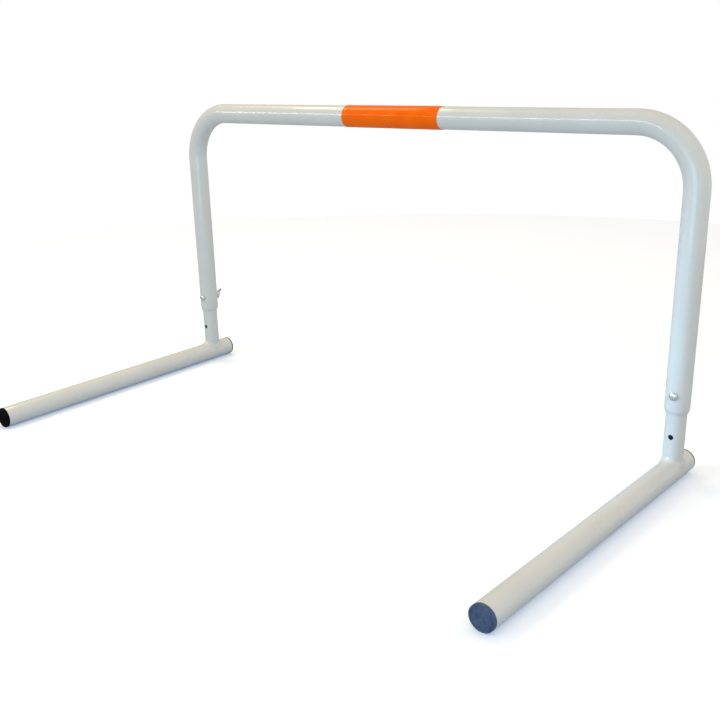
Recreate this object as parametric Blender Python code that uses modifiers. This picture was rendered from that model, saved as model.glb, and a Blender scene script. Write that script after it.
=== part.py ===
"""Height-adjustable training hurdle of bent steel tube.

A hoop (two legs and a bar, bent from one tube) slides over two upright stubs, each welded to a
long foot. A bolt with a wing nut goes through each leg and one of the stub's holes, and sets the
height. X runs along the bar, the long ends of the feet point to -Y, and Z is up. The origin is on
the floor, under the middle of the object's box. Sizes are in metres.
"""

import math

import bmesh
import bpy
from mathutils import Matrix, Vector

# Tubes. The hoop and the feet are made of one tube size, which slides over the stubs' tube.
STUB_OD = 0.033
STUB_WALL = 0.002
SLIDE_CLEARANCE = 0.0015
TUBE_WALL = 0.002
TUBE_OD = STUB_OD + 2 * (SLIDE_CLEARANCE + TUBE_WALL)

# Hoop, at the height that it is set to.
LEG_SPACING = 1.140
BAR_AXIS_HEIGHT = 0.575
BEND_RADIUS = 0.100
BOLT_TO_LEG_END = 0.0325
NECK_LENGTH = 0.0085
NECK_WALL = 0.0007
NECK_CLEARANCE = 0.0004

# Height holes in the stubs, counted from the lowest.
HOLE_COUNT = 4
HOLE_IN_USE = 1
HOLE_PITCH = 0.072
LOWEST_HOLE_HEIGHT = 0.082
STUB_ABOVE_TOP_HOLE = 0.030

# Feet.
FOOT_TUBE_LENGTH = 0.608
FOOT_BEHIND_LEG = 0.0455
WELD_RADIUS = 0.0044

# Orange sleeve round the middle of the bar, laid a little to the left.
BAND_LENGTH = 0.223
BAND_SHIFT = -0.0055
BAND_THICKNESS = 0.0004

# Plastic end caps of the feet and guide bushes on top of the stubs.
FRONT_FLANGE = 0.0045
BACK_FLANGE = 0.0025
CAP_EDGE = 0.0006
CAP_RIM_WIDTH = 0.003
CAP_DISH_DEPTH = 0.0010
CAP_RIDGE_COUNT = 2
CAP_PLUG_LENGTH = 0.014
CAP_PLUG_WALL = 0.0018
CAP_RIB_COUNT = 2
CAP_RIB_HEIGHT = 0.0008
BUSH_COLLAR_HEIGHT = 0.006
BUSH_PLUG_LENGTH = 0.012
BUSH_CLEARANCE = 0.0005

# Height bolts, washers and wing nuts.
BOLT_DIAMETER = 0.008
BOLT_HOLE_CLEARANCE = 0.0005
BOLT_HEAD_OVERHANG = 0.00325
BOLT_HEAD_HEIGHT = 0.0042
BOLT_TIP_PAST_NUT = 0.003
THREAD_CLEARANCE = 0.0003
WASHER_WIDTH = 0.0037
WASHER_THICKNESS = 0.0016
NUT_BASE_WALL = 0.0029
NUT_TOP_WALL = 0.0017
NUT_HEIGHT = 0.0085
WING_PAST_HUB = 0.0033
WING_RISE = 0.0100
WING_LOBE_RADIUS = 0.0045
WING_THICKNESS = 0.0026
WING_ROOT_OFF_BORE = 0.0005
WING_TILTS = {"left": math.radians(63), "right": math.radians(80)}

# Gap between pieces that touch, and facets of round shapes.
TOUCH_GAP = 0.0003
MERGE_DISTANCE = 0.00001
TUBE_SIDES = 24
BEND_STEPS = 10
NECK_STEPS = 2
SMALL_SIDES = 16
WELD_POINTS = 24
WELD_SIDES = 8
LOBE_STEPS = 6
DOME_STEPS = 4
CUTTER_PAST = 0.010

# Sizes that follow from those above.
TUBE_RADIUS = TUBE_OD / 2
TUBE_BORE_RADIUS = TUBE_RADIUS - TUBE_WALL
STUB_RADIUS = STUB_OD / 2
STUB_BORE_RADIUS = STUB_RADIUS - STUB_WALL
BOLT_RADIUS = BOLT_DIAMETER / 2
BOLT_HOLE_RADIUS = BOLT_RADIUS + BOLT_HOLE_CLEARANCE
BOLT_HEAD_RADIUS = BOLT_RADIUS + BOLT_HEAD_OVERHANG
NUT_BORE_RADIUS = BOLT_RADIUS + THREAD_CLEARANCE
NUT_BASE_RADIUS = NUT_BORE_RADIUS + NUT_BASE_WALL
NUT_TOP_RADIUS = NUT_BORE_RADIUS + NUT_TOP_WALL
WING_REACH = NUT_BASE_RADIUS + WING_PAST_HUB
WASHER_RADIUS = NUT_BORE_RADIUS + WASHER_WIDTH
BOLT_HEIGHT = LOWEST_HOLE_HEIGHT + HOLE_IN_USE * HOLE_PITCH
TOP_HOLE_HEIGHT = LOWEST_HOLE_HEIGHT + (HOLE_COUNT - 1) * HOLE_PITCH
STUB_TOP = TOP_HOLE_HEIGHT + STUB_ABOVE_TOP_HOLE
LEG_END_HEIGHT = BOLT_HEIGHT - BOLT_TO_LEG_END
FOOT_FRONT = (FRONT_FLANGE - BACK_FLANGE - FOOT_TUBE_LENGTH) / 2
FOOT_BACK = FOOT_FRONT + FOOT_TUBE_LENGTH
LEG_Y = FOOT_BACK - FOOT_BEHIND_LEG
SIDES = {"left": -LEG_SPACING / 2, "right": LEG_SPACING / 2}

TO_MINUS_Y = Matrix.Rotation(math.pi / 2, 4, "X")
TO_PLUS_Y = Matrix.Rotation(-math.pi / 2, 4, "X")
STUB_TURN = Matrix.Rotation(math.pi / TUBE_SIDES, 4, "Z")


def clear_objects():
    for old in list(bpy.data.objects):
        bpy.data.objects.remove(old, do_unlink=True)


def new_collection(name):
    group = bpy.data.collections.new(name)
    bpy.context.scene.collection.children.link(group)
    return group


def new_material(name, colour, roughness, metallic):
    material = bpy.data.materials.new(name)
    material.use_nodes = True
    shader = material.node_tree.nodes["Principled BSDF"]
    shader.inputs["Base Color"].default_value = (*colour, 1.0)
    shader.inputs["Roughness"].default_value = roughness
    shader.inputs["Metallic"].default_value = metallic
    material.diffuse_color = (*colour, 1.0)
    return material


clear_objects()
PARTS = new_collection("training_hurdle")
CUTTERS = new_collection("cutters")
WHITE_COAT = new_material("white_powder_coat", (0.62, 0.66, 0.66), 0.28, 0.0)
WELD_COAT = new_material("coated_weld", (0.60, 0.64, 0.64), 0.40, 0.0)
ORANGE = new_material("orange_sleeve", (0.83, 0.13, 0.005), 0.25, 0.0)
BLACK_PLASTIC = new_material("black_plastic", (0.02, 0.022, 0.026), 0.5, 0.0)
GUIDE_PLASTIC = new_material("guide_plastic", (0.55, 0.55, 0.50), 0.45, 0.0)
ZINC = new_material("zinc_plate", (0.62, 0.66, 0.70), 0.25, 1.0)


def add_object(name, mesh, material, place):
    """A sub-part, or a cutter when it has no material."""
    thing = bpy.data.objects.new(name, mesh)
    thing.matrix_world = place
    if material:
        mesh.materials.clear()
        mesh.materials.append(material)
        PARTS.objects.link(thing)
    else:
        thing.hide_render = True
        thing.display_type = "WIRE"
        CUTTERS.objects.link(thing)
    return thing


def smooth_mesh(mesh):
    mesh.shade_smooth()
    mesh.set_sharp_from_angle(angle=math.radians(35))


def settle(thing):
    """Replace an object's mesh by what its modifiers make of it, shaded smooth."""
    bpy.context.view_layer.update()
    seen = thing.evaluated_get(bpy.context.evaluated_depsgraph_get())
    made = bpy.data.meshes.new_from_object(seen)
    thing.modifiers.clear()
    thing.data = made
    smooth_mesh(made)


def cut(thing, *cutters):
    for cutter in cutters:
        boolean = thing.modifiers.new(cutter.name, "BOOLEAN")
        boolean.operation = "DIFFERENCE"
        boolean.object = cutter
    settle(thing)


def turned(name, profile, closed, material, place, sides=TUBE_SIDES):
    """A piece turned about its own Z. profile lists (radius, height), down the outer side."""
    mesh = bpy.data.meshes.new(name)
    edges = [(n, n + 1) for n in range(len(profile) - 1)]
    if closed:
        edges.append((len(profile) - 1, 0))
    mesh.from_pydata([(radius, 0, height) for radius, height in profile], edges, [])
    thing = add_object(name, mesh, material, place)
    screw = thing.modifiers.new("turn", "SCREW")
    screw.axis = "Z"
    screw.angle = math.tau
    screw.steps = screw.render_steps = sides
    screw.use_merge_vertices = True
    screw.merge_threshold = MERGE_DISTANCE
    settle(thing)
    return thing


def pipe_profile(outer, inner, low, high):
    return [(outer, high), (outer, low), (inner, low), (inner, high)]


def round_cutter(name, radius, low, high, place, sides=TUBE_SIDES):
    profile = [(0, high), (radius, high), (radius, low), (0, low)]
    return turned(name, profile, False, None, place, sides)


def swept(name, points, radii, cyclic, sides, material):
    """A round bar along a line of points, with its own radius at each point."""
    curve = bpy.data.curves.new(name, "CURVE")
    curve.dimensions = "3D"
    curve.bevel_depth = 1.0
    curve.bevel_resolution = (sides - 4) // 2
    curve.use_fill_caps = not cyclic
    spline = curve.splines.new("POLY")
    spline.points.add(len(points) - 1)
    spline.use_cyclic_u = cyclic
    for point, place, radius in zip(spline.points, points, radii):
        point.co = (*place, 1.0)
        point.radius = radius
    guide = bpy.data.objects.new(name + "_curve", curve)
    CUTTERS.objects.link(guide)
    bpy.context.view_layer.update()
    seen = guide.evaluated_get(bpy.context.evaluated_depsgraph_get())
    mesh = bpy.data.meshes.new_from_object(seen)
    place = guide.matrix_world.copy()
    bpy.data.objects.remove(guide, do_unlink=True)
    weld_seams(mesh)
    smooth_mesh(mesh)
    return add_object(name, mesh, material, place)


def weld_seams(mesh):
    shape = bmesh.new()
    shape.from_mesh(mesh)
    bmesh.ops.remove_doubles(shape, verts=shape.verts, dist=MERGE_DISTANCE)
    bmesh.ops.recalc_face_normals(shape, faces=shape.faces)
    shape.to_mesh(mesh)
    shape.free()


def at(x, y, z):
    return Matrix.Translation((x, y, z))


def hoop_line(radius, neck_radius, past_end):
    """Points and radii from the left leg's end over the bar to the right leg's end."""
    half, bend_height = LEG_SPACING / 2, BAR_AXIS_HEIGHT - BEND_RADIUS
    left_points, left_radii = [], []
    if past_end:
        left_points.append(Vector((-half, LEG_Y, LEG_END_HEIGHT - past_end)))
        left_radii.append(neck_radius)
    for step in range(NECK_STEPS + 1):
        share = step / NECK_STEPS
        left_points.append(Vector((-half, LEG_Y, LEG_END_HEIGHT + share * NECK_LENGTH)))
        left_radii.append(neck_radius + (radius - neck_radius) * math.sin(share * math.pi / 2))
    for step in range(BEND_STEPS + 1):
        angle = math.pi - step / BEND_STEPS * math.pi / 2
        across = -half + BEND_RADIUS + BEND_RADIUS * math.cos(angle)
        left_points.append(Vector((across, LEG_Y, bend_height + BEND_RADIUS * math.sin(angle))))
        left_radii.append(radius)
    right_points = [Vector((-point.x, point.y, point.z)) for point in reversed(left_points)]
    return left_points + right_points, left_radii + left_radii[::-1]


def make_hoop():
    neck_bore = STUB_RADIUS + NECK_CLEARANCE
    outside = hoop_line(TUBE_RADIUS, neck_bore + NECK_WALL, 0)
    inside = hoop_line(TUBE_BORE_RADIUS, neck_bore, CUTTER_PAST)
    hoop = swept("hoop_tube", *outside, False, TUBE_SIDES, WHITE_COAT)
    cutters = [swept("hoop_bore", *inside, False, TUBE_SIDES, None)]
    for side, x in SIDES.items():
        place = at(x, LEG_Y, BOLT_HEIGHT) @ TO_PLUS_Y
        reach = TUBE_RADIUS + CUTTER_PAST
        cutters.append(
            round_cutter(side + "_leg_bolt_hole", BOLT_HOLE_RADIUS, -reach, reach, place, SMALL_SIDES)
        )
    cut(hoop, *cutters)


def make_band():
    inner = TUBE_RADIUS + TOUCH_GAP
    profile = pipe_profile(inner + BAND_THICKNESS, inner, -BAND_LENGTH / 2, BAND_LENGTH / 2)
    place = at(BAND_SHIFT, LEG_Y, BAR_AXIS_HEIGHT) @ Matrix.Rotation(math.pi / 2, 4, "Y")
    turned("orange_band", profile, True, ORANGE, place)


def make_foot(side, x):
    profile = pipe_profile(TUBE_RADIUS, TUBE_BORE_RADIUS, FOOT_FRONT, FOOT_BACK)
    place = at(x, 0, TUBE_RADIUS) @ TO_PLUS_Y
    turned(side + "_foot_tube", profile, True, WHITE_COAT, place)


def foot_cutter(side, x, purpose):
    """The foot's outside, with the gap that pieces resting on it keep."""
    reach = TUBE_RADIUS + STUB_RADIUS + CUTTER_PAST
    place = at(x, LEG_Y, TUBE_RADIUS) @ TO_PLUS_Y
    return round_cutter(side + purpose, TUBE_RADIUS + TOUCH_GAP, -reach, reach, place)


def make_stub(side, x):
    """Upright inner tube: coped onto the foot, with the row of height holes.

    The stub and what fits it are turned by half a facet, so that the middle of a hole doesn't lie
    on a corner of the tube.
    """
    profile = pipe_profile(STUB_RADIUS, STUB_BORE_RADIUS, TUBE_RADIUS, STUB_TOP)
    stub = turned(side + "_leg_stub", profile, True, WHITE_COAT, at(x, LEG_Y, 0) @ STUB_TURN)
    cutters = [foot_cutter(side, x, "_stub_cope")]
    reach = STUB_RADIUS + CUTTER_PAST
    for number in range(HOLE_COUNT):
        place = at(x, LEG_Y, LOWEST_HOLE_HEIGHT + number * HOLE_PITCH) @ TO_PLUS_Y
        name = f"{side}_height_hole_{number + 1}"
        cutters.append(round_cutter(name, BOLT_HOLE_RADIUS, -reach, reach, place, SMALL_SIDES))
    cut(stub, *cutters)


def make_weld(side, x):
    """Fillet along the saddle line where the stub meets the foot."""
    points = []
    for step in range(WELD_POINTS):
        angle = step / WELD_POINTS * math.tau
        across, along = STUB_RADIUS * math.cos(angle), STUB_RADIUS * math.sin(angle)
        rise = math.sqrt(TUBE_RADIUS**2 - across**2)
        points.append(Vector((x + across, LEG_Y + along, TUBE_RADIUS + rise)))
    radii = [WELD_RADIUS] * WELD_POINTS
    bead = swept(side + "_weld_bead", points, radii, True, WELD_SIDES, WELD_COAT)
    reach = TUBE_OD + WELD_RADIUS + CUTTER_PAST
    place = at(x, LEG_Y, 0) @ STUB_TURN
    post = round_cutter(side + "_bead_bore", STUB_RADIUS + TOUCH_GAP, 0, reach, place)
    cut(bead, foot_cutter(side, x, "_bead_saddle"), post)


def ridged_face(flange):
    """Face of a flange: ridges in a shallow dish inside the rim."""
    dish_radius = TUBE_RADIUS - CAP_RIM_WIDTH
    ridge_step = dish_radius / (CAP_RIDGE_COUNT + 1)
    dish = flange - CAP_DISH_DEPTH
    face = [(0, dish)]
    for ridge in range(1, CAP_RIDGE_COUNT + 1):
        middle = ridge * ridge_step
        face += [(middle - ridge_step / 4, dish), (middle, flange), (middle + ridge_step / 4, dish)]
    face += [(dish_radius - CAP_EDGE, dish), (dish_radius, flange)]
    return face


def plain_face(flange):
    return [(0, flange)]


def cap_profile(face, flange):
    """A flange with the face given, on a ribbed plug that is hollow at its inner end."""
    profile = face + [(TUBE_RADIUS - CAP_EDGE, flange), (TUBE_RADIUS, flange - CAP_EDGE), (TUBE_RADIUS, 0)]
    rib_radius = TUBE_BORE_RADIUS - TOUCH_GAP
    body_radius = rib_radius - CAP_RIB_HEIGHT
    rib_step = CAP_PLUG_LENGTH / (CAP_RIB_COUNT + 1)
    profile.append((body_radius, 0))
    for rib in range(1, CAP_RIB_COUNT + 1):
        top = -rib * rib_step
        profile += [(body_radius, top), (rib_radius, top - rib_step / 8), (body_radius, top - rib_step / 2)]
    profile += [(body_radius, -CAP_PLUG_LENGTH), (body_radius - CAP_PLUG_WALL, -CAP_PLUG_LENGTH)]
    profile += [(body_radius - CAP_PLUG_WALL, 0), (0, 0)]
    return profile


def make_caps(side, x):
    front = at(x, FOOT_FRONT - TOUCH_GAP, TUBE_RADIUS) @ TO_MINUS_Y
    back = at(x, FOOT_BACK + TOUCH_GAP, TUBE_RADIUS) @ TO_PLUS_Y
    front_profile = cap_profile(ridged_face(FRONT_FLANGE), FRONT_FLANGE)
    back_profile = cap_profile(plain_face(BACK_FLANGE), BACK_FLANGE)
    turned(side + "_front_end_cap", front_profile, False, BLACK_PLASTIC, front)
    turned(side + "_back_end_cap", back_profile, False, BLACK_PLASTIC, back)


def make_bush(side, x):
    """Plastic guide on top of the stub: it centres the stub in the leg."""
    collar = TUBE_BORE_RADIUS - BUSH_CLEARANCE
    plug = STUB_BORE_RADIUS - TOUCH_GAP
    base = STUB_TOP + TOUCH_GAP
    edge = BUSH_COLLAR_HEIGHT / 4
    profile = [
        (0, BUSH_COLLAR_HEIGHT),
        (collar - edge, BUSH_COLLAR_HEIGHT),
        (collar, BUSH_COLLAR_HEIGHT - edge),
        (collar, 0),
        (plug, 0),
        (plug, -BUSH_PLUG_LENGTH),
        (0, -BUSH_PLUG_LENGTH),
    ]
    turned(side + "_stub_bush", profile, False, GUIDE_PLASTIC, at(x, LEG_Y, base) @ STUB_TURN)


def stack_place(side_x, out):
    """A place on the bolt's line behind the leg, out from the leg's surface."""
    return at(side_x, LEG_Y + TUBE_RADIUS + out, BOLT_HEIGHT) @ TO_PLUS_Y


def nut_seat():
    return 2 * TOUCH_GAP + WASHER_THICKNESS


def make_bolt(side, x):
    """Dome-headed bolt with a plain shank, head at the front, in two pieces.

    The stretch of the shank that crosses the stub is left out, so that the hoop can slide on the
    stub with the bolt in its place.
    """
    place = at(x, LEG_Y, BOLT_HEIGHT) @ TO_MINUS_Y
    off_stub = STUB_RADIUS + TOUCH_GAP
    head_foot = TUBE_RADIUS + TOUCH_GAP
    head = [
        (BOLT_HEAD_RADIUS * math.sin(turn), head_foot + BOLT_HEAD_HEIGHT * (0.2 + 0.8 * math.cos(turn)))
        for turn in (step / DOME_STEPS * math.pi / 2 for step in range(DOME_STEPS + 1))
    ]
    head += [
        (BOLT_HEAD_RADIUS, head_foot),
        (BOLT_RADIUS, head_foot),
        (BOLT_RADIUS, off_stub),
        (0, off_stub),
    ]
    turned(side + "_bolt_head_end", head, False, ZINC, place, SMALL_SIDES)
    tip = TUBE_RADIUS + nut_seat() + NUT_HEIGHT + BOLT_TIP_PAST_NUT
    chamfer = BOLT_RADIUS / 5
    thread = [
        (0, -off_stub),
        (BOLT_RADIUS, -off_stub),
        (BOLT_RADIUS, -tip + chamfer),
        (BOLT_RADIUS - chamfer, -tip),
        (0, -tip),
    ]
    turned(side + "_bolt_thread_end", thread, False, ZINC, place, SMALL_SIDES)


def make_washer(side, x):
    profile = pipe_profile(WASHER_RADIUS, NUT_BORE_RADIUS, 0, WASHER_THICKNESS)
    turned(side + "_washer", profile, True, ZINC, stack_place(x, TOUCH_GAP), SMALL_SIDES)


def wing_outline(direction):
    """One wing: from the hub's wall out to a round lobe."""
    root = NUT_BORE_RADIUS + WING_ROOT_OFF_BORE
    outline = [(direction * root, NUT_HEIGHT / 8), (direction * WING_REACH, NUT_HEIGHT / 2)]
    for step in range(LOBE_STEPS + 1):
        turn = -math.pi / 4 + step / LOBE_STEPS * math.pi
        outline.append(
            (
                direction * (WING_REACH + WING_LOBE_RADIUS * math.cos(turn)),
                WING_RISE + WING_LOBE_RADIUS * math.sin(turn),
            )
        )
    outline.append((direction * root, NUT_HEIGHT * 7 / 8))
    return outline


def make_wing_nut(side, x):
    place = stack_place(x, nut_seat()) @ Matrix.Rotation(-WING_TILTS[side], 4, "Z")
    hub = [
        (NUT_TOP_RADIUS, NUT_HEIGHT),
        (NUT_BASE_RADIUS, 0),
        (NUT_BORE_RADIUS, 0),
        (NUT_BORE_RADIUS, NUT_HEIGHT),
    ]
    nut = turned(side + "_wing_nut", hub, True, ZINC, place, SMALL_SIDES)
    for number, direction in enumerate((1, -1)):
        wing = flat_plate(f"{side}_wing_{number + 1}", wing_outline(direction), WING_THICKNESS, place)
        union = nut.modifiers.new(wing.name, "BOOLEAN")
        union.operation = "UNION"
        union.object = wing
    settle(nut)


def flat_plate(name, outline, thickness, place):
    """A plate in its own X-Z plane, as thick as said along Y, made to be joined to a piece."""
    curve = bpy.data.curves.new(name, "CURVE")
    curve.dimensions = "2D"
    curve.fill_mode = "BOTH"
    curve.extrude = thickness / 2
    spline = curve.splines.new("POLY")
    spline.points.add(len(outline) - 1)
    spline.use_cyclic_u = True
    for point, (across, up) in zip(spline.points, outline):
        point.co = (across, up, 0, 1)
    guide = bpy.data.objects.new(name + "_curve", curve)
    CUTTERS.objects.link(guide)
    bpy.context.view_layer.update()
    seen = guide.evaluated_get(bpy.context.evaluated_depsgraph_get())
    mesh = bpy.data.meshes.new_from_object(seen)
    bpy.data.objects.remove(guide, do_unlink=True)
    weld_seams(mesh)
    return add_object(name, mesh, None, place @ Matrix.Rotation(math.pi / 2, 4, "X"))


make_hoop()
make_band()
for SIDE, X in SIDES.items():
    make_foot(SIDE, X)
    make_stub(SIDE, X)
    make_weld(SIDE, X)
    make_caps(SIDE, X)
    make_bush(SIDE, X)
    make_bolt(SIDE, X)
    make_washer(SIDE, X)
    make_wing_nut(SIDE, X)
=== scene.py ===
"""Looks of the height-adjustable training hurdle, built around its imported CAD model, in metres."""

import math

import bmesh
import bpy
from mathutils import Matrix, Vector


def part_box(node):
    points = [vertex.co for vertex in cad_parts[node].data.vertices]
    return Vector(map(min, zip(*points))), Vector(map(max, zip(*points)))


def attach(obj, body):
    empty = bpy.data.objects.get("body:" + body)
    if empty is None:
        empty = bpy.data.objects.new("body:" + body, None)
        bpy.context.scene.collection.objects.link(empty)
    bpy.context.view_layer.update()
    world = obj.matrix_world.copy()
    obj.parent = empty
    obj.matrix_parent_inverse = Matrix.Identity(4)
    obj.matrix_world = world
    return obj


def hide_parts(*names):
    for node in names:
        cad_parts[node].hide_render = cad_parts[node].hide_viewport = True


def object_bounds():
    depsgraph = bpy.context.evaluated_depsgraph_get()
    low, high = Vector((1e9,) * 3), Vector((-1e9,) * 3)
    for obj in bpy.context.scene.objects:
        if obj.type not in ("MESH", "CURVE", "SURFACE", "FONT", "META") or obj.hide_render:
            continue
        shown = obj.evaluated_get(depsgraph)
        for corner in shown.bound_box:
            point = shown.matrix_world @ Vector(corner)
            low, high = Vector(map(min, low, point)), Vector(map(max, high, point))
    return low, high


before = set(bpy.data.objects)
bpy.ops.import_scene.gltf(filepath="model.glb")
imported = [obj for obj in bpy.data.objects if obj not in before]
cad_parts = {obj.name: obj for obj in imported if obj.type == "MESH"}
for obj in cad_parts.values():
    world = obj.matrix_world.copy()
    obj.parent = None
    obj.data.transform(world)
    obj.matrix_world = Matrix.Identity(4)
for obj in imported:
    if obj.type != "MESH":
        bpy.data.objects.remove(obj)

CAD_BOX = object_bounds()

# Places and sizes, read from the CAD model.
HOOP_LOW, HOOP_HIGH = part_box("hoop_tube")
TUBE_RADIUS = (HOOP_HIGH.y - HOOP_LOW.y) / 2
LEG_Y = (HOOP_HIGH.y + HOOP_LOW.y) / 2
LEG_X = HOOP_HIGH.x - TUBE_RADIUS
BAR_Z = HOOP_HIGH.z - TUBE_RADIUS
LEG_END_Z = HOOP_LOW.z
STUB_LOW, STUB_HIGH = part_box("left_leg_stub")
CAD_TUBE_SIDES = 24  # The stub's box is measured across its flats.
STUB_RADIUS = (STUB_HIGH.y - STUB_LOW.y) / 2 / math.cos(math.pi / CAD_TUBE_SIDES)
STUB_TOP_Z = STUB_HIGH.z
FOOT_LOW, FOOT_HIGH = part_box("left_foot_tube")
BOLT_LOW, BOLT_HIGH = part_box("left_bolt_thread_end")
BOLT_RADIUS = (BOLT_HIGH.z - BOLT_LOW.z) / 2
BOLT_Z = (BOLT_HIGH.z + BOLT_LOW.z) / 2
BOLT_TIP = BOLT_HIGH.y - LEG_Y
HEAD_LOW, HEAD_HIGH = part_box("left_bolt_head_end")
HEAD_RADIUS = (HEAD_HIGH.z - HEAD_LOW.z) / 2
HEAD_TOP = LEG_Y - HEAD_LOW.y
WASHER_LOW, WASHER_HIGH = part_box("left_washer")
WASHER_RADIUS = (WASHER_HIGH.z - WASHER_LOW.z) / 2
BAND_LOW, BAND_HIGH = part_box("orange_band")
FRONT_CAP_LOW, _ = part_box("left_front_end_cap")
_, BACK_CAP_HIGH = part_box("left_back_end_cap")
NUT_LOW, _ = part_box("left_wing_nut")
SIDES = {"left": -LEG_X, "right": LEG_X}

# Sizes that a box doesn't give, as the CAD model has them.
TUBE_WALL = 0.002
BEND_RADIUS = 0.100
NECK_LENGTH = 0.0085
NECK_WALL = 0.0007
NECK_CLEARANCE = 0.0004
STUB_WALL = 0.002
BOLT_HOLE_RADIUS = 0.0045
LOWEST_HOLE_Z = 0.082
HOLE_PITCH = 0.072
HOLE_COUNT = 4
NUT_BORE_RADIUS = 0.0043
NUT_TILTS = {"left": math.radians(63), "right": math.radians(80)}

# Facets of the fine surfaces, and the steepest angle that is still shaded as one smooth surface.
TUBE_SIDES = 96
SMALL_SIDES = 64
BEND_STEPS = 28
NECK_STEPS = 8
CORNER_STEPS = 5
MERGE_DISTANCE = 0.000001
SMOOTH_ANGLE = math.radians(35)

# Gap behind the caps' flanges and under the bolts' heads.
SNUG_GAP = 0.0001

TO_MINUS_Y = Matrix.Rotation(math.pi / 2, 4, "X")
TO_PLUS_Y = Matrix.Rotation(-math.pi / 2, 4, "X")
TO_PLUS_X = Matrix.Rotation(math.pi / 2, 4, "Y")


def at(x, y, z):
    return Matrix.Translation((x, y, z))


# --- Materials ---------------------------------------------------------------------------------


# Sockets of a Mix node that mixes colours; they share their names with its other sockets.
MIX_FIRST, MIX_SECOND, MIX_RESULT = 6, 7, 2


def colour_ramp(nodes, links, share, stops):
    ramp = nodes.new("ShaderNodeValToRGB")
    while len(ramp.color_ramp.elements) < len(stops):
        ramp.color_ramp.elements.new(0.5)
    for element, (position, value) in zip(ramp.color_ramp.elements, stops):
        colour = value if isinstance(value, tuple) else (value,) * 3
        element.position = position
        element.color = (*colour, 1)
    links.new(share, ramp.inputs["Fac"])
    return ramp.outputs["Color"]


class Finish:
    """A material being built: a Principled BSDF with procedural maps in the object's own metres."""

    def __init__(self, name, metallic, specular, roughness):
        self.material = bpy.data.materials.new(name)
        self.material.use_nodes = True
        self.nodes = self.material.node_tree.nodes
        self.links = self.material.node_tree.links
        self.shader = self.nodes["Principled BSDF"]
        self.shader.inputs["Metallic"].default_value = metallic
        self.shader.inputs["Specular IOR Level"].default_value = specular
        self.shader.inputs["Roughness"].default_value = roughness
        self.place = self.nodes.new("ShaderNodeTexCoord").outputs["Object"]
        self.normal = None

    def stretched(self, scale):
        """The place, with each axis multiplied, for marks that run along the axes of small scale."""
        mapping = self.nodes.new("ShaderNodeMapping")
        mapping.inputs["Scale"].default_value = scale
        self.links.new(self.place, mapping.inputs["Vector"])
        return mapping.outputs["Vector"]

    def noise(self, grain, detail, place=None):
        """Noise whose lumps are about one grain across, in metres."""
        noise = self.nodes.new("ShaderNodeTexNoise")
        noise.inputs["Scale"].default_value = 1 / grain
        noise.inputs["Detail"].default_value = detail
        self.links.new(place or self.place, noise.inputs["Vector"])
        return noise.outputs["Fac"]

    def cells(self, grain):
        """Round pits about one grain apart."""
        cells = self.nodes.new("ShaderNodeTexVoronoi")
        cells.inputs["Scale"].default_value = 1 / grain
        self.links.new(self.place, cells.inputs["Vector"])
        return cells.outputs["Distance"]

    def ramp(self, share, *stops):
        """A colour ramp; each stop is a position and a grey value or a colour."""
        return colour_ramp(self.nodes, self.links, share, stops)

    def blend(self, share, first, second):
        """Mix of two colours, each an output or a constant; share is an output or a number."""
        mix = self.nodes.new("ShaderNodeMix")
        mix.data_type = "RGBA"
        inputs = mix.inputs
        for socket, value in (
            (inputs["Factor"], share), (inputs[MIX_FIRST], first), (inputs[MIX_SECOND], second)
        ):
            if isinstance(value, bpy.types.NodeSocket):
                self.links.new(value, socket)
            elif isinstance(value, tuple):
                socket.default_value = (*value, 1)
            else:
                socket.default_value = value
        return mix.outputs[MIX_RESULT]

    def colour(self, output):
        self.links.new(output, self.shader.inputs["Base Color"])

    def roughness(self, output):
        self.links.new(output, self.shader.inputs["Roughness"])

    def bump(self, height, depth):
        """Adds relief of the given depth, in metres."""
        bump = self.nodes.new("ShaderNodeBump")
        bump.inputs["Distance"].default_value = depth
        self.links.new(height, bump.inputs["Height"])
        if self.normal:
            self.links.new(self.normal, bump.inputs["Normal"])
        self.normal = bump.outputs["Normal"]
        self.links.new(self.normal, self.shader.inputs["Normal"])

    def coat(self, weight, roughness):
        self.shader.inputs["Coat Weight"].default_value = weight
        self.shader.inputs["Coat Roughness"].default_value = roughness


# Grain of the powder coat: cloudy colour, dull specks, rubbed patches, and relief as (grain, depth).
COAT_CLOUDS = 0.06
COAT_SPECKS = 0.004
COAT_RUBS = 0.09
ORANGE_PEEL = (0.003, 0.000010)
COAT_WAVES = (0.016, 0.00003)
SPECK_SHADE = 0.86

# Grain of the orange sleeve.
SLEEVE_CLOUDS = 0.03
SLEEVE_PULLS = (0.02, 0.00002)
SLEEVE_PEEL = (0.003, 0.000006)
SLEEVE_STRETCH = (5, 1, 1)

# Grain of the moulded plastics.
PLASTIC_DUST = 0.007
PLASTIC_SCRATCHES = 0.004
PLASTIC_SHEEN = 0.003
PLASTIC_PITS = 0.0006
SCRATCH_STRETCH = (1, 1, 9)

# Grain of the zinc.
ZINC_TINT = 0.006
ZINC_MARKS = (0.0011, 0.00003)

# Floor: the colour the camera sees, the colour it bounces to the object, and a faint glow.
FLOOR_SHOWN = (0.90, 0.94, 1.0)
FLOOR_BOUNCED = (0.34, 0.36, 0.38)
FLOOR_GLOW = (0.10, 0.13, 0.19)
FLOOR_CLOUDS = 0.5
FLOOR_TOOTH = (0.004, 0.00005)
FLOOR_SHADE = 0.985


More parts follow.
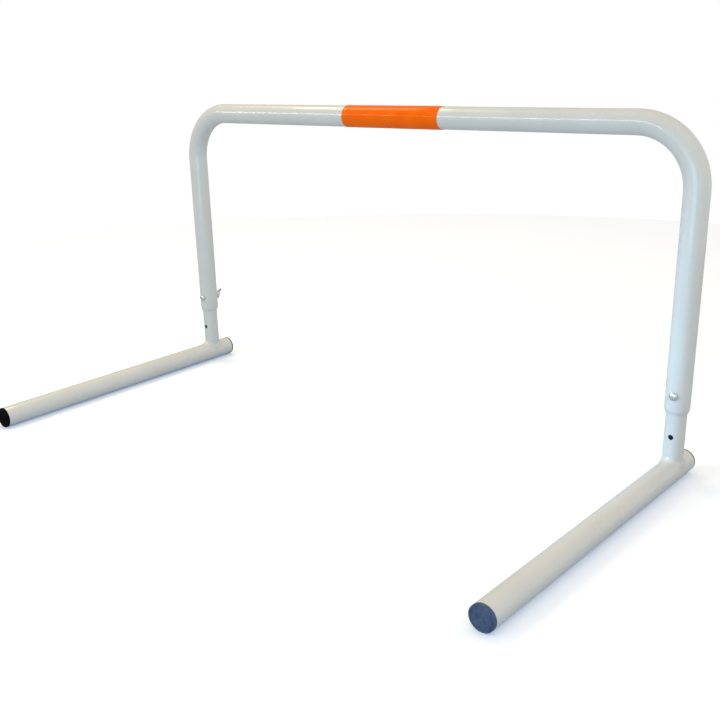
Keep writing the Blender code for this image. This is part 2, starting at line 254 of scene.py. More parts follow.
def powder_coat(name, low, high, roughness):
    """Glossy white powder coat: orange peel, faint clouds, a few dull specks and rubbed patches."""
    finish = Finish(name, 0.0, 0.5, roughness)
    clouds = finish.ramp(finish.noise(COAT_CLOUDS, 3), (0.35, low), (0.65, high))
    specks = finish.ramp(finish.noise(COAT_SPECKS, 2), (0.70, 0.0), (0.78, 1.0))
    dull = tuple(SPECK_SHADE * value for value in low)
    finish.colour(finish.blend(finish.blend(0.5, (0, 0, 0), specks), clouds, dull))
    rubbed = finish.noise(COAT_RUBS, 4)
    finish.roughness(finish.ramp(rubbed, (0.35, roughness - 0.04), (0.70, roughness + 0.08)))
    for grain, depth in (ORANGE_PEEL, COAT_WAVES):
        finish.bump(finish.noise(grain, 1), depth)
    finish.coat(0.6, 0.07)
    return finish.material


def orange_sleeve():
    """Glossy sleeve: deeper colour in soft clouds, fine pull marks round the bar."""
    finish = Finish("orange_vinyl", 0.0, 0.02, 0.30)
    light, deep = (0.96, 0.150, 0.0), (0.90, 0.125, 0.0)
    finish.colour(finish.ramp(finish.noise(SLEEVE_CLOUDS, 3), (0.3, deep), (0.7, light)))
    grain, depth = SLEEVE_PULLS
    pulls = finish.noise(grain, 2, finish.stretched(SLEEVE_STRETCH))
    finish.roughness(finish.ramp(pulls, (0.3, 0.26), (0.7, 0.36)))
    finish.bump(pulls, depth)
    grain, depth = SLEEVE_PEEL
    finish.bump(finish.noise(grain, 2), depth)
    finish.coat(0.18, 0.06)
    return finish.material


def moulded_plastic(name, low, high, specular, roughness, grain_depth):
    """Satin moulded plastic: fine spark-eroded grain, dusty patches and light scratches."""
    finish = Finish(name, 0.0, specular, roughness)
    dusty = finish.ramp(finish.noise(PLASTIC_DUST, 4), (0.38, low), (0.68, high))
    lines = finish.noise(PLASTIC_SCRATCHES, 2, finish.stretched(SCRATCH_STRETCH))
    scratches = finish.ramp(lines, (0.66, 0.0), (0.72, 1.0))
    scuffed = tuple(min(1.0, value * 1.5 + 0.004) for value in high)
    finish.colour(finish.blend(finish.blend(0.55, (0, 0, 0), scratches), dusty, scuffed))
    sheen = finish.noise(PLASTIC_SHEEN, 3)
    finish.roughness(finish.ramp(sheen, (0.3, roughness - 0.08), (0.7, roughness + 0.1)))
    finish.bump(finish.cells(PLASTIC_PITS), grain_depth)
    return finish.material


def zinc_plating():
    """Bright zinc: faint blue and straw passivation tints, tumbled marks."""
    finish = Finish("bright_zinc", 1.0, 0.5, 0.26)
    blue, plain, straw = (0.60, 0.64, 0.70), (0.72, 0.73, 0.74), (0.75, 0.71, 0.62)
    finish.colour(finish.ramp(finish.noise(ZINC_TINT, 3), (0.3, blue), (0.5, plain), (0.7, straw)))
    grain, depth = ZINC_MARKS
    marks = finish.noise(grain, 4)
    finish.roughness(finish.ramp(marks, (0.3, 0.20), (0.7, 0.38)))
    finish.bump(marks, depth)
    return finish.material


def floor_paper():
    """Pale matt paper. It bounces less light than it shows, as a floor with dark flags round it."""
    finish = Finish("pale_floor", 0.0, 0.2, 0.8)
    faint = tuple(FLOOR_SHADE * value for value in FLOOR_SHOWN)
    shown = finish.ramp(finish.noise(FLOOR_CLOUDS, 3), (0.3, faint), (0.7, FLOOR_SHOWN))
    seen = finish.nodes.new("ShaderNodeLightPath").outputs["Is Camera Ray"]
    finish.colour(finish.blend(seen, FLOOR_BOUNCED, shown))
    grain, depth = FLOOR_TOOTH
    finish.bump(finish.noise(grain, 2), depth)
    finish.shader.inputs["Emission Color"].default_value = (*FLOOR_GLOW, 1)
    finish.shader.inputs["Emission Strength"].default_value = 1.0
    return finish.material


# Each has its darkest and lightest colour; the plastics then have gloss, roughness and grain depth.
WHITE_COAT = powder_coat("white_powder_coat_fine", (0.590, 0.597, 0.590), (0.615, 0.622, 0.615), 0.30)
WELD_COAT = powder_coat("white_coated_weld", (0.575, 0.582, 0.575), (0.615, 0.622, 0.615), 0.36)
ORANGE = orange_sleeve()
BLACK_CAP = moulded_plastic(
    "black_cap_plastic", (0.002, 0.002, 0.002), (0.004, 0.004, 0.004), 0.03, 0.55, 0.00004
)
# The right front cap is black plastic painted blue-grey: a painted reflection of the cool window light on
# its face.
CAP_PAINTED_REFLECTION = moulded_plastic(
    "cap_plastic_painted_blue_reflection", (0.040, 0.066, 0.128), (0.066, 0.104, 0.190), 0.3, 0.42, 0.00004
)
GUIDE_PLASTIC = moulded_plastic(
    "guide_bush_plastic", (0.50, 0.49, 0.44), (0.58, 0.57, 0.52), 0.5, 0.45, 0.00003
)
# The right front cap takes the copy with the painted blue reflection; the left one shows the plain black.
FRONT_CAPS = {"left": BLACK_CAP, "right": CAP_PAINTED_REFLECTION}
ZINC = zinc_plating()


# --- Mesh tools --------------------------------------------------------------------------------


def ring_shape(rings, closed):
    """A surface through rings of points; a ring of one point is a pole."""
    shape = bmesh.new()
    made = [[shape.verts.new(point) for point in ring] for ring in rings]
    pairs = list(zip(made, made[1:]))
    if closed:
        pairs.append((made[-1], made[0]))
    for first, second in pairs:
        count = max(len(first), len(second))
        for n in range(count):
            m = (n + 1) % count
            near = [first[n % len(first)], first[m % len(first)]]
            far = [second[m % len(second)], second[n % len(second)]]
            shape.faces.new(list(dict.fromkeys(near + far)))
    bmesh.ops.recalc_face_normals(shape, faces=shape.faces)
    return shape


def shade(mesh, smooth_angle):
    mesh.shade_smooth()
    mesh.set_sharp_from_angle(angle=smooth_angle)


def finished_mesh(name, shape, smooth_angle=SMOOTH_ANGLE):
    """The shape as a mesh; the shape itself is used up."""
    mesh = bpy.data.meshes.new(name)
    shape.to_mesh(mesh)
    shape.free()
    shade(mesh, smooth_angle)
    return mesh


def curve_point(share, start, control, end):
    """Point of the curve that leaves start and reaches end, both towards control."""
    return (1 - share) ** 2 * start + 2 * share * (1 - share) * control + share**2 * end


def rounded(profile, radius, closed):
    """The profile with its corners rounded, each by as much as its sides leave room for."""
    points = [Vector(point) for point in profile]
    count = len(points)
    result = []
    for n, corner in enumerate(points):
        if not closed and n in (0, count - 1):
            result.append(tuple(corner))
            continue
        before, after = points[n - 1], points[(n + 1) % count]
        back, forth = (before - corner), (after - corner)
        reach = min(radius, back.length / 2, forth.length / 2)
        start, end = corner + back.normalized() * reach, corner + forth.normalized() * reach
        for step in range(CORNER_STEPS + 1):
            result.append(tuple(curve_point(step / CORNER_STEPS, start, corner, end)))
    return result


def full_circle(sides):
    return [n / sides * math.tau for n in range(sides)]


def circle(radius, height, sides):
    return [(radius * math.cos(turn), radius * math.sin(turn), height) for turn in full_circle(sides)]


def lathe(profile, closed, sides=SMALL_SIDES):
    """A profile of (radius, height) turned about Z."""
    rings = [
        circle(radius, height, sides if radius > MERGE_DISTANCE else 1) for radius, height in profile
    ]
    return ring_shape(rings, closed)


def turned_piece(name, profile, closed, material, place, sides=SMALL_SIDES, smooth_angle=SMOOTH_ANGLE):
    shape = lathe(profile, closed, sides)
    shape.transform(place)
    return add_piece(name, finished_mesh(name, shape, smooth_angle), material)


def add_piece(name, mesh, material):
    piece = bpy.data.objects.new(name, mesh)
    bpy.context.scene.collection.objects.link(piece)
    mesh.materials.clear()
    mesh.materials.append(material)
    return piece


def belongs(piece, body, slot, *nodes):
    """The piece rides on the body and stands for the CAD nodes, which are hidden. The slot is not used."""
    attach(piece, body)
    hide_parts(*nodes)


def drill(piece, *cutters):
    """Cuts shapes out of a piece and leaves the result as its mesh."""
    for shape in cutters:
        mesh = bpy.data.meshes.new("cutter")
        shape.to_mesh(mesh)
        shape.free()
        cutter = bpy.data.objects.new("cutter", mesh)
        bpy.context.scene.collection.objects.link(cutter)
        boolean = piece.modifiers.new("cut", "BOOLEAN")
        boolean.object = cutter
        apply_modifiers(piece)
        bpy.data.objects.remove(cutter)


def apply_modifiers(piece):
    bpy.context.view_layer.update()
    seen = piece.evaluated_get(bpy.context.evaluated_depsgraph_get())
    made = bpy.data.meshes.new_from_object(seen)
    piece.modifiers.clear()
    piece.data = made
    shade(made, SMOOTH_ANGLE)


def round_bar(radius, low, high, place, sides=SMALL_SIDES):
    shape = lathe([(0, high), (radius, high), (radius, low), (0, low)], False, sides)
    shape.transform(place)
    return shape


WALL_TOLERANCE = 0.00002
FACING_OUT = 0.9


def true_round(piece, x, radius, low, high):
    """Exact normals on an upright tube's wall, so that the holes in it don't disturb its gloss."""
    mesh = piece.data
    normals = [Vector(corner.vector) for corner in mesh.corner_normals]
    for face in mesh.polygons:
        for loop in face.loop_indices:
            point = mesh.vertices[mesh.loops[loop].vertex_index].co
            out = Vector((point.x - x, point.y - LEG_Y, 0))
            on_wall = abs(out.length - radius) < WALL_TOLERANCE and low <= point.z <= high
            if on_wall and face.normal.dot(out.normalized()) > FACING_OUT:
                normals[loop] = out.normalized()
    mesh.normals_split_custom_set(normals)


# --- Hoop --------------------------------------------------------------------------------------


# The walls have a ring of points this far above and below each bolt hole.
RINGS_OFF_HOOP_HOLE = 0.010
RINGS_OFF_STUB_HOLE = 0.008

# The sleeve's bore lies this deep in the bar, so that no gap shows.
BAND_BITE = 0.0001
BAND_EDGE = 0.0003


def neck_radius(share, end_radius, full_radius):
    return end_radius + (full_radius - end_radius) * math.sin(share * math.pi / 2)


def hoop_stations(end_radius, radius):
    """Centre, direction across and radius at each station, from the left leg's end to the right's."""
    stations = []
    for step in range(NECK_STEPS + 1):
        share = step / NECK_STEPS
        height = LEG_END_Z + share * NECK_LENGTH
        stations.append((Vector((-LEG_X, LEG_Y, height)), math.pi, neck_radius(share, end_radius, radius)))
    bend_z = BAR_Z - BEND_RADIUS
    for height in (BOLT_Z - RINGS_OFF_HOOP_HOLE, BOLT_Z + RINGS_OFF_HOOP_HOLE, (BOLT_Z + bend_z) / 2):
        stations.append((Vector((-LEG_X, LEG_Y, height)), math.pi, radius))
    for step in range(BEND_STEPS + 1):
        turn = math.pi - step / BEND_STEPS * math.pi / 2
        centre = Vector((-LEG_X + BEND_RADIUS, LEG_Y, bend_z))
        centre += BEND_RADIUS * Vector((math.cos(turn), 0, math.sin(turn)))
        stations.append((centre, turn, radius))
    mirrored = [(Vector((-c.x, c.y, c.z)), math.pi - turn, r) for c, turn, r in reversed(stations)]
    return stations + mirrored


def hoop_rings(end_radius, radius):
    rings = []
    for centre, turn, wide in hoop_stations(end_radius, radius):
        across = Vector((math.cos(turn), 0, math.sin(turn)))
        back = Vector((0, 1, 0))
        rings.append([
            centre + wide * (math.cos(t) * across + math.sin(t) * back) for t in full_circle(TUBE_SIDES)
        ])
    return rings


def make_hoop():
    neck_bore = STUB_RADIUS + NECK_CLEARANCE
    outside = hoop_rings(neck_bore + NECK_WALL, TUBE_RADIUS)
    inside = hoop_rings(neck_bore, TUBE_RADIUS - TUBE_WALL)
    shape = ring_shape(outside + inside[::-1], True)
    hoop = add_piece("hoop_fine", finished_mesh("hoop_fine", shape), WHITE_COAT)
    reach = 2 * TUBE_RADIUS
    places = [at(x, LEG_Y, BOLT_Z) @ TO_PLUS_Y for x in SIDES.values()]
    drill(hoop, *[round_bar(BOLT_HOLE_RADIUS, -reach, reach, place) for place in places])
    low, high = LEG_END_Z + NECK_LENGTH - WALL_TOLERANCE, BAR_Z - BEND_RADIUS + WALL_TOLERANCE
    for x in SIDES.values():
        true_round(hoop, x, TUBE_RADIUS, low, high)
    belongs(hoop, "hoop", "white_powder_coat", "hoop_tube")


def make_band():
    outer = (BAND_HIGH.z - BAND_LOW.z) / 2
    half = (BAND_HIGH.x - BAND_LOW.x) / 2
    inner = TUBE_RADIUS - BAND_BITE
    profile = rounded([(outer, half), (outer, -half), (inner, -half), (inner, half)], BAND_EDGE, True)
    place = at((BAND_LOW.x + BAND_HIGH.x) / 2, LEG_Y, BAR_Z) @ TO_PLUS_X
    band = turned_piece("orange_sleeve", profile, True, ORANGE, place, TUBE_SIDES)
    belongs(band, "hoop", "orange_sleeve", "orange_band")


# --- Feet --------------------------------------------------------------------------------------

FOOT_EDGE = 0.0008

# The stub's end lies this deep in the foot's wall, under the weld.
SADDLE_BITE = 0.0005


def make_foot(side, x):
    inner = TUBE_RADIUS - TUBE_WALL
    front, back = FOOT_LOW.y, FOOT_HIGH.y
    corners = [(TUBE_RADIUS, back), (TUBE_RADIUS, front), (inner, front), (inner, back)]
    profile = rounded(corners, FOOT_EDGE, True)
    place = at(x, 0, TUBE_RADIUS) @ TO_PLUS_Y
    foot = turned_piece(side + "_foot_fine", profile, True, WHITE_COAT, place, TUBE_SIDES)
    belongs(foot, side + "_foot", "white_powder_coat", side + "_foot_tube")


def make_stub(side, x):
    """Upright tube with its height holes, cut at the bottom to sit on the foot like a saddle."""
    inner = STUB_RADIUS - STUB_WALL
    heights = [STUB_TOP_Z]
    for number in reversed(range(HOLE_COUNT)):
        middle = LOWEST_HOLE_Z + number * HOLE_PITCH
        heights += [middle + RINGS_OFF_STUB_HOLE, middle - RINGS_OFF_STUB_HOLE]
    heights.append(TUBE_RADIUS)
    profile = [(STUB_RADIUS, height) for height in heights] + [(inner, TUBE_RADIUS), (inner, STUB_TOP_Z)]
    stub = turned_piece(side + "_stub_fine", profile, True, WHITE_COAT, at(x, LEG_Y, 0), TUBE_SIDES)
    reach = 2 * STUB_RADIUS
    foot_place = at(x, LEG_Y, TUBE_RADIUS) @ TO_PLUS_Y
    cutters = [round_bar(TUBE_RADIUS - SADDLE_BITE, -reach, reach, foot_place, TUBE_SIDES)]
    for number in range(HOLE_COUNT):
        place = at(x, LEG_Y, LOWEST_HOLE_Z + number * HOLE_PITCH) @ TO_PLUS_Y
        cutters.append(round_bar(BOLT_HOLE_RADIUS, -reach, reach, place))
    drill(stub, *cutters)
    true_round(stub, x, STUB_RADIUS, TUBE_RADIUS, STUB_TOP_Z)
    belongs(stub, side + "_foot", "white_powder_coat", side + "_leg_stub")


# Weld fillet: how far it runs along the foot and up the stub, how much larger it is at the front,
# how far it swells and sinks in, its ripples.
WELD_ALONG_FOOT = 0.0080
WELD_ACROSS_SHARE = 0.72
WELD_UP_STUB = 0.0052
WELD_EXTRA_IN_FRONT = {"left": 0.7, "right": 0.1}
WELD_SWELL = 0.0009
WELD_HOLLOW = 0.30
WELD_ROOT_DEPTH = 0.0008
WELD_EDGE_DEPTH = 0.0006
WELD_RIPPLE = 0.00012
WELD_RIPPLES = 46
WELD_RIPPLE_RISE = 0.6 * WELD_RIPPLE
WELD_STEPS = 184
WELD_ARC_STEPS = 10


def saddle(turn):
    """Where the stub's wall meets the foot, as a place along it and a roll, and the way out from there."""
    across, along = STUB_RADIUS * math.cos(turn), STUB_RADIUS * math.sin(turn)
    roll = math.asin(across / TUBE_RADIUS)
    out = Vector((TUBE_RADIUS * math.cos(turn), math.sin(turn) * math.cos(roll) * TUBE_RADIUS)).normalized()
    return along, roll, out


def on_foot(x, roll, along):
    """Point of the foot's wall, rolled away from its top and moved along it."""
    height = TUBE_RADIUS + TUBE_RADIUS * math.cos(roll)
    return Vector((x + TUBE_RADIUS * math.sin(roll), LEG_Y + along, height))


def weld_ring(turn, x, extra):
    """One cross-section of the fillet, larger by the extra share towards the front."""
    along, roll, out = saddle(turn)
    ripple = 1 + WELD_RIPPLE / WELD_ALONG_FOOT * math.sin(WELD_RIPPLES * turn)
    size = 1 + extra * max(0.0, -math.sin(turn)) ** 2
    wide = WELD_ACROSS_SHARE + (1 - WELD_ACROSS_SHARE) * math.sin(turn) ** 2
    reach = WELD_ALONG_FOOT * wide * ripple * size
    toe = on_foot(x, roll + out.x * reach / TUBE_RADIUS, along + out.y * reach)
    corner = on_foot(x, roll, along)
    wall = Vector((math.cos(turn), math.sin(turn), 0))
    top = corner + Vector((0, 0, WELD_UP_STUB * size))
    root = corner - WELD_ROOT_DEPTH * wall - Vector((0, 0, WELD_ROOT_DEPTH))
    side_on = math.cos(turn) ** 2
    swell = WELD_SWELL * side_on + WELD_RIPPLE_RISE * math.sin(WELD_RIPPLES * turn)
    middle = (top + toe) / 2
    bulge = (middle - corner).normalized()
    control = corner.lerp(middle, WELD_HOLLOW + (1 - WELD_HOLLOW) * side_on) + 2 * swell * bulge
    ring = [curve_point(step / WELD_ARC_STEPS, top, control, toe) for step in range(WELD_ARC_STEPS + 1)]
    foot_wall = (toe - Vector((x, toe.y, TUBE_RADIUS))).normalized()
    return ring + [toe - WELD_EDGE_DEPTH * foot_wall, root, top - WELD_EDGE_DEPTH * wall]


def make_weld(side, x):
    extra = WELD_EXTRA_IN_FRONT[side]
    rings = [weld_ring(step / WELD_STEPS * math.tau, x, extra) for step in range(WELD_STEPS)]
    name = side + "_weld_fillet"
    weld = add_piece(name, finished_mesh(name, ring_shape(rings, True)), WELD_COAT)
    belongs(weld, side + "_foot", "white_powder_coat", side + "_weld_bead")


# End caps: rim, ridges and plug.
CAP_RIM_WIDTH = 0.0024
RIDGED_CAP_EDGE = 0.0007
PLAIN_CAP_EDGE = 0.0009
CAP_SMOOTH_ANGLE = math.radians(60)
CAP_DISH_DEPTH = 0.0007
CAP_RIDGE_COUNT = 8
CAP_RIDGE_STEPS = 8
CAP_RIDGE_HEIGHT = 0.0005
CAP_RIDGES_OFF_RIM = 0.0006
CAP_PLUG_LENGTH = 0.014
CAP_PLUG_CLEARANCE = 0.0003
CAP_PLUG_RADIUS = TUBE_RADIUS - TUBE_WALL - CAP_PLUG_CLEARANCE
CAP_PLUG = [(CAP_PLUG_RADIUS, 0), (CAP_PLUG_RADIUS, -CAP_PLUG_LENGTH), (0, -CAP_PLUG_LENGTH)]


def ridged_cap(flange):
    """Ring-shaped ridges in a shallow dish inside a rounded rim."""
    dish_radius = TUBE_RADIUS - CAP_RIM_WIDTH
    bottom = flange - CAP_DISH_DEPTH
    face = []
    count = CAP_RIDGE_COUNT * CAP_RIDGE_STEPS
    for step in range(count + 1):
        share = step / count
        wave = (1 - math.cos(share * CAP_RIDGE_COUNT * math.tau)) / 2
        radius = share * (dish_radius - CAP_RIDGES_OFF_RIM)
        face.append((radius, bottom - CAP_RIDGE_HEIGHT * (1 - wave)))
    rim = [(dish_radius, bottom), (dish_radius, flange), (TUBE_RADIUS, flange), (TUBE_RADIUS, 0)]
    return face + rounded(rim, RIDGED_CAP_EDGE, False) + CAP_PLUG


def plain_cap(flange):
    rim = [(0, flange), (TUBE_RADIUS, flange), (TUBE_RADIUS, 0)]
    return rounded(rim, PLAIN_CAP_EDGE, False) + CAP_PLUG


def make_caps(side, x):
    front, back = FOOT_LOW.y - SNUG_GAP, FOOT_HIGH.y + SNUG_GAP
    front_place = at(x, front, TUBE_RADIUS) @ TO_MINUS_Y
    back_place = at(x, back, TUBE_RADIUS) @ TO_PLUS_Y
    for end, profile, place, material in (
        ("front", ridged_cap(front - FRONT_CAP_LOW.y), front_place, FRONT_CAPS[side]),
        ("back", plain_cap(BACK_CAP_HIGH.y - back), back_place, BLACK_CAP),
    ):
        name = f"{side}_{end}_cap_fine"
        cap = turned_piece(name, profile, False, material, place, TUBE_SIDES, CAP_SMOOTH_ANGLE)
        belongs(cap, side + "_foot", "black_plastic", f"{side}_{end}_end_cap")


def finish_bush(side):
    """The guide bush keeps its CAD shape, inside the leg."""
    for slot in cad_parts[side + "_stub_bush"].material_slots:
        slot.material = GUIDE_PLASTIC


# --- Bolts, washers and wing nuts --------------------------------------------------------------

THREAD_PITCH = 0.00125
THREAD_DEPTH = 0.0007
THREAD_LENGTH = 0.024
THREAD_ROWS_PER_TURN = 10
THREAD_SIDES = 40
THREAD_GROOVE_SHARE = 1.6
THREAD_UNDERSIZE = 0.00005
THREAD_START_STEP = 0.0002
HEAD_SKIRT = 0.0009
HEAD_EDGE = 0.0004
DOME_STEPS = 14
TIP_CHAMFER = 0.0008
BOLT_SMOOTH_ANGLE = math.radians(40)
WASHER_EDGE = 0.00035


def thread_rings(low, high):
    """Rings of a helical thread from high down to low, running out at the top and the tip."""
    rows = int((high - low) / THREAD_PITCH * THREAD_ROWS_PER_TURN)
    rings = []
    for row in range(rows + 1):
        height = high - row / rows * (high - low)
        fade = min(1.0, (high - height) / THREAD_PITCH, (height - low) / THREAD_PITCH)
        ring = []
        for n in range(THREAD_SIDES):
            turn = n / THREAD_SIDES * math.tau
            phase = (height / THREAD_PITCH + n / THREAD_SIDES) % 1
            groove = min(1.0, THREAD_GROOVE_SHARE * (1 - abs(2 * phase - 1)))
            radius = BOLT_RADIUS - THREAD_UNDERSIZE - THREAD_DEPTH * groove * fade
            ring.append((radius * math.cos(turn), radius * math.sin(turn), height))
        rings.append(ring)
    return rings


def make_bolt(side, x):
    """One piece: domed head with a short skirt, plain shank, thread with a chamfered tip."""
    underside = TUBE_RADIUS + SNUG_GAP
    dome_rise = HEAD_TOP - underside - HEAD_SKIRT
    dome = []
    for step in range(1, DOME_STEPS + 1):
        turn = step / DOME_STEPS * math.pi / 2
        height = underside + HEAD_SKIRT + dome_rise * math.cos(turn)
        dome.append((HEAD_RADIUS * math.sin(turn), height))
    corners = [dome[-1], (HEAD_RADIUS, underside), (BOLT_RADIUS, underside), (BOLT_RADIUS, 0)]
    shank_end = -BOLT_TIP + THREAD_LENGTH
    shank = (BOLT_RADIUS, shank_end + THREAD_START_STEP)
    outline = dome[:-1] + rounded(corners, HEAD_EDGE, False) + [shank]
    plain = [circle(radius, height, THREAD_SIDES) for radius, height in outline]
    thread = thread_rings(-BOLT_TIP + TIP_CHAMFER, shank_end)
    tip = circle(BOLT_RADIUS - TIP_CHAMFER, -BOLT_TIP, THREAD_SIDES)
    shape = ring_shape([[(0, 0, HEAD_TOP)], *plain, *thread, tip, [(0, 0, -BOLT_TIP)]], False)
    shape.transform(at(x, LEG_Y, BOLT_Z) @ TO_MINUS_Y)
    name = side + "_bolt_whole"
    bolt = add_piece(name, finished_mesh(name, shape, BOLT_SMOOTH_ANGLE), ZINC)
    belongs(bolt, side + "_bolt", "zinc_plate", side + "_bolt_head_end", side + "_bolt_thread_end")


def make_washer(side, x):
    outer, inner = WASHER_RADIUS, NUT_BORE_RADIUS
    top = WASHER_HIGH.y - WASHER_LOW.y
    profile = rounded([(outer, top), (outer, 0), (inner, 0), (inner, top)], WASHER_EDGE, True)
    place = at(x, WASHER_LOW.y, BOLT_Z) @ TO_PLUS_Y
    washer = turned_piece(side + "_washer_fine", profile, True, ZINC, place)
    belongs(washer, side + "_washer_body", "zinc_plate", side + "_washer")


# Wing nut: a tapered hub with two rounded wings, cast in one.
NUT_BASE_RADIUS = 0.0070
NUT_TOP_RADIUS = 0.0057
NUT_HEIGHT = 0.0085
NUT_EDGE = 0.0009
WING_ROOT_RADIUS = 0.0044
WING_ROOT_HEIGHTS = (0.0012, NUT_HEIGHT * 0.90)
WING_UNDERSIDE_INSET = 0.001
WING_UNDERSIDE_HEIGHT = NUT_HEIGHT * 0.42
WING_REACH = 0.0105
WING_RISE = 0.0100
WING_LOBE_RADIUS = 0.0043
WING_LOBE_START = -0.3 * math.pi
WING_LOBE_TURN = 1.12 * math.pi
WING_LOBE_STEPS = 16
WING_THICKNESS = 0.0024
CAST_GRAIN = 0.00033
CAST_SMOOTHING = 5


def wing_shape(direction):
    """One wing: from inside the hub out to a round lobe, as a plate in the X-Z plane."""
    root_low, root_high = WING_ROOT_HEIGHTS
    outline = [(WING_ROOT_RADIUS, root_low), (WING_REACH - WING_UNDERSIDE_INSET, WING_UNDERSIDE_HEIGHT)]
    for step in range(WING_LOBE_STEPS + 1):
        turn = WING_LOBE_START + step / WING_LOBE_STEPS * WING_LOBE_TURN
        out, up = WING_LOBE_RADIUS * math.cos(turn), WING_LOBE_RADIUS * math.sin(turn)
        outline.append((WING_REACH + out, WING_RISE + up))
    outline.append((WING_ROOT_RADIUS, root_high))
    half = WING_THICKNESS / 2
    shape = bmesh.new()
    layers = [[shape.verts.new((direction * a, y, z)) for a, z in outline] for y in (-half, half)]
    shape.faces.new(layers[0])
    shape.faces.new(layers[1][::-1])
    for n in range(len(outline)):
        m = (n + 1) % len(outline)
        shape.faces.new([layers[0][n], layers[0][m], layers[1][m], layers[1][n]])
    bmesh.ops.recalc_face_normals(shape, faces=shape.faces)
    return shape


def make_wing_nut(side, x):
    """Hub and wings melted into one by a voxel remesh, smoothed as a casting, then bored."""
    hub = rounded([(NUT_TOP_RADIUS, NUT_HEIGHT), (NUT_BASE_RADIUS, 0.0), (0.0, 0.0)], NUT_EDGE, False)
    whole = lathe([(0.0, NUT_HEIGHT)] + hub, False)
    for direction in (1, -1):
        wing = wing_shape(direction)
        mesh = bpy.data.meshes.new("wing")
        wing.to_mesh(mesh)
        wing.free()
        whole.from_mesh(mesh)
        bpy.data.meshes.remove(mesh)
    name = side + "_wing_nut_cast"
    nut = add_piece(name, finished_mesh(name, whole), ZINC)
    remesh = nut.modifiers.new("melt", "REMESH")
    remesh.mode = "VOXEL"
    remesh.voxel_size = CAST_GRAIN
    smooth = nut.modifiers.new("smooth", "SMOOTH")
    smooth.iterations = CAST_SMOOTHING
    apply_modifiers(nut)
    drill(nut, round_bar(NUT_BORE_RADIUS, -NUT_HEIGHT, 2 * NUT_HEIGHT, Matrix.Identity(4)))
    place = at(x, NUT_LOW.y, BOLT_Z) @ TO_PLUS_Y @ Matrix.Rotation(-NUT_TILTS[side], 4, "Z")
    nut.data.transform(place)
    belongs(nut, side + "_nut", "zinc_plate", side + "_wing_nut")


# --- Stage -------------------------------------------------------------------------------------

# Camera: heading about Z, dip below the horizon and roll in radians; lens and sensor in millimetres.
CAMERA_PLACE = (1.1300, -1.1865, 0.6979)
CAMERA_HEADING = 0.7542
CAMERA_DIP = 0.3361
CAMERA_ROLL = -0.0402
CAMERA_LENS = 47.65
CAMERA_SENSOR = 36
CAMERA_SHIFT = (0.060, 0.0321)


def make_camera():
    data = bpy.data.cameras.new("camera")
    data.lens = CAMERA_LENS
    data.sensor_width = CAMERA_SENSOR
    data.shift_x, data.shift_y = CAMERA_SHIFT
    camera = bpy.data.objects.new("camera", data)
    bpy.context.scene.collection.objects.link(camera)
    aim = Matrix.Rotation(CAMERA_HEADING, 4, "Z") @ Matrix.Rotation(math.pi / 2 - CAMERA_DIP, 4, "X")
    camera.matrix_world = at(*CAMERA_PLACE) @ aim @ Matrix.Rotation(CAMERA_ROLL, 4, "Z")
    bpy.context.scene.camera = camera


FLOOR_RADIUS = 2.6
FLOOR_SIDES = 96
FLOOR_DROP = 0.0002


def make_floor():
    mesh = bpy.data.meshes.new("floor")
    shape = bmesh.new()
    bmesh.ops.create_circle(shape, cap_ends=True, segments=FLOOR_SIDES, radius=FLOOR_RADIUS)
    shape.to_mesh(mesh)
    shape.free()
    floor = add_piece("floor", mesh, floor_paper())
    floor.location.z = CAD_BOX[0].z - FLOOR_DROP


# The room's light: its brightest way, and its colours from the darkest way to the brightest.
ROOM_BRIGHT_WAY = (0.90, 0.10, -0.30)
ROOM_COLOURS = (
    (0.0, (0.52, 0.50, 0.47)),
    (0.35, (0.62, 0.60, 0.56)),
    (0.60, (0.75, 0.75, 0.73)),
    (1.0, (1.08, 1.07, 1.01)),
)


def make_world():
    """Room light: bright on the right, dim and warm on the left and above. The camera sees white."""
    world = bpy.data.worlds.new("room")
    world.use_nodes = True
    bpy.context.scene.world = world
    nodes, links = world.node_tree.nodes, world.node_tree.links
    way = nodes.new("ShaderNodeVectorMath")
    way.operation = "DOT_PRODUCT"
    way.inputs[1].default_value = ROOM_BRIGHT_WAY
    links.new(nodes.new("ShaderNodeTexCoord").outputs["Generated"], way.inputs[0])
    share = nodes.new("ShaderNodeMath")
    share.operation = "MULTIPLY_ADD"
    share.inputs[1].default_value = 0.5
    share.inputs[2].default_value = 0.5
    links.new(way.outputs["Value"], share.inputs[0])
    room = nodes["Background"]
    room.inputs["Strength"].default_value = 1.0
    links.new(colour_ramp(nodes, links, share.outputs["Value"], ROOM_COLOURS), room.inputs["Color"])
    backdrop = nodes.new("ShaderNodeBackground")
    backdrop.inputs["Color"].default_value = (1, 1, 1, 1)
    mix = nodes.new("ShaderNodeMixShader")
    links.new(nodes.new("ShaderNodeLightPath").outputs["Is Camera Ray"], mix.inputs["Fac"])
    links.new(room.outputs["Background"], mix.inputs[1])
    links.new(backdrop.outputs["Background"], mix.inputs[2])
    links.new(mix.outputs["Shader"], nodes["World Output"].inputs["Surface"])


# Places that the lights aim at.
FLOOR_MIDDLE = (0, 0, 0)
BAR_LEFT = (-0.45, 0.26, 0.575)
BAR_RIGHT = (0.3, 0.26, 0.575)
LEG_RIGHT = (0.45, 0.26, 0.45)
STUB_RIGHT = (0.57, 0.26, 0.13)

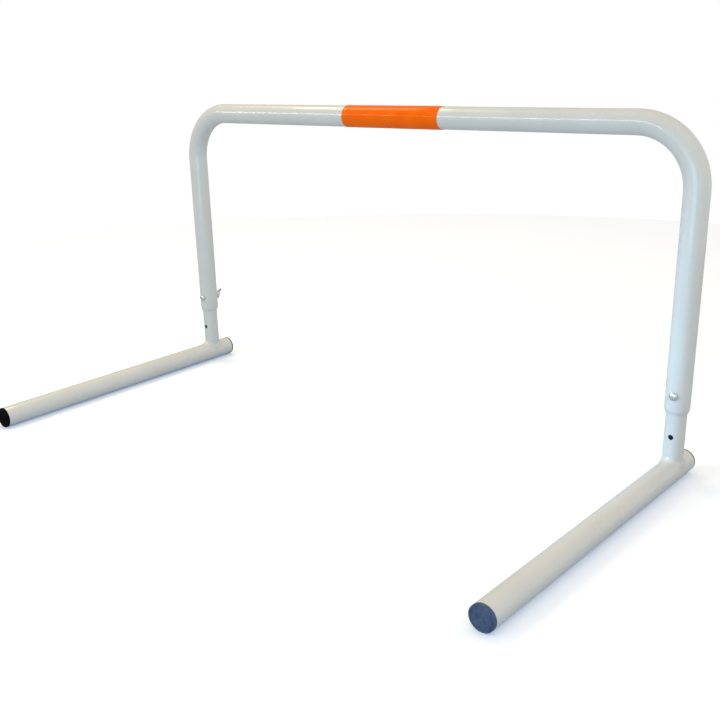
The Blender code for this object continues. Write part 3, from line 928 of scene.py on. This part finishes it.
# Panels of light: place, target, width, height, power and colour.
PANELS = {
    "lamp": ((-1.3, 0.30, 2.1), BAR_LEFT, 0.6, 0.6, 12, (1.0, 0.86, 0.42)),
    "strip": ((-1.9, -2.9, 1.55), BAR_RIGHT, 3.6, 0.22, 30, (0.92, 0.98, 1.0)),
    "window": ((0.75, -1.75, 0.40), LEG_RIGHT, 1.2, 0.9, 9.5, (0.42, 0.78, 1.0)),
}
CEILING_PLACE = (0, 0, 3)
CEILING_STRENGTH = 0.70
CEILING_COLOUR = (1.0, 0.72, 0.40)
CEILING_SPREAD = math.radians(100)
LOW_WINDOW_PLACE = (-0.3, -0.75, 0.45)
LOW_WINDOW_POWER = 44
LOW_WINDOW_COLOUR = (0.42, 0.75, 1.0)
LOW_WINDOW_CONE = math.radians(36)
LOW_WINDOW_SIZE = 0.15


def add_light(name, kind, place, target, power, colour):
    data = bpy.data.lights.new(name, kind)
    data.energy = power
    data.color = colour
    light = bpy.data.objects.new(name, data)
    bpy.context.scene.collection.objects.link(light)
    light.location = place
    light.visible_camera = False
    light.rotation_mode = "QUATERNION"
    light.rotation_quaternion = (Vector(target) - Vector(place)).to_track_quat("-Z", "Y")
    return light


def make_lights():
    """Warm ceiling and lamp, a long strip, and two cool windows in front on the right."""
    ceiling = add_light("ceiling", "SUN", CEILING_PLACE, FLOOR_MIDDLE, CEILING_STRENGTH, CEILING_COLOUR)
    ceiling.data.angle = CEILING_SPREAD
    ceiling.visible_glossy = False
    for name, (place, target, width, height, power, colour) in PANELS.items():
        panel = add_light(name, "AREA", place, target, power, colour).data
        panel.shape = "RECTANGLE"
        panel.size, panel.size_y = width, height
    spot = add_light(
        "low_window", "SPOT", LOW_WINDOW_PLACE, STUB_RIGHT, LOW_WINDOW_POWER, LOW_WINDOW_COLOUR
    ).data
    spot.spot_size = LOW_WINDOW_CONE
    spot.spot_blend = 1.0
    spot.shadow_soft_size = LOW_WINDOW_SIZE


make_camera()
make_world()
make_lights()
make_floor()
make_hoop()
make_band()
for SIDE, X in SIDES.items():
    make_foot(SIDE, X)
    make_stub(SIDE, X)
    make_weld(SIDE, X)
    make_caps(SIDE, X)
    make_bolt(SIDE, X)
    make_washer(SIDE, X)
    make_wing_nut(SIDE, X)
    finish_bush(SIDE)

bpy.context.scene.view_settings.view_transform = "Standard"
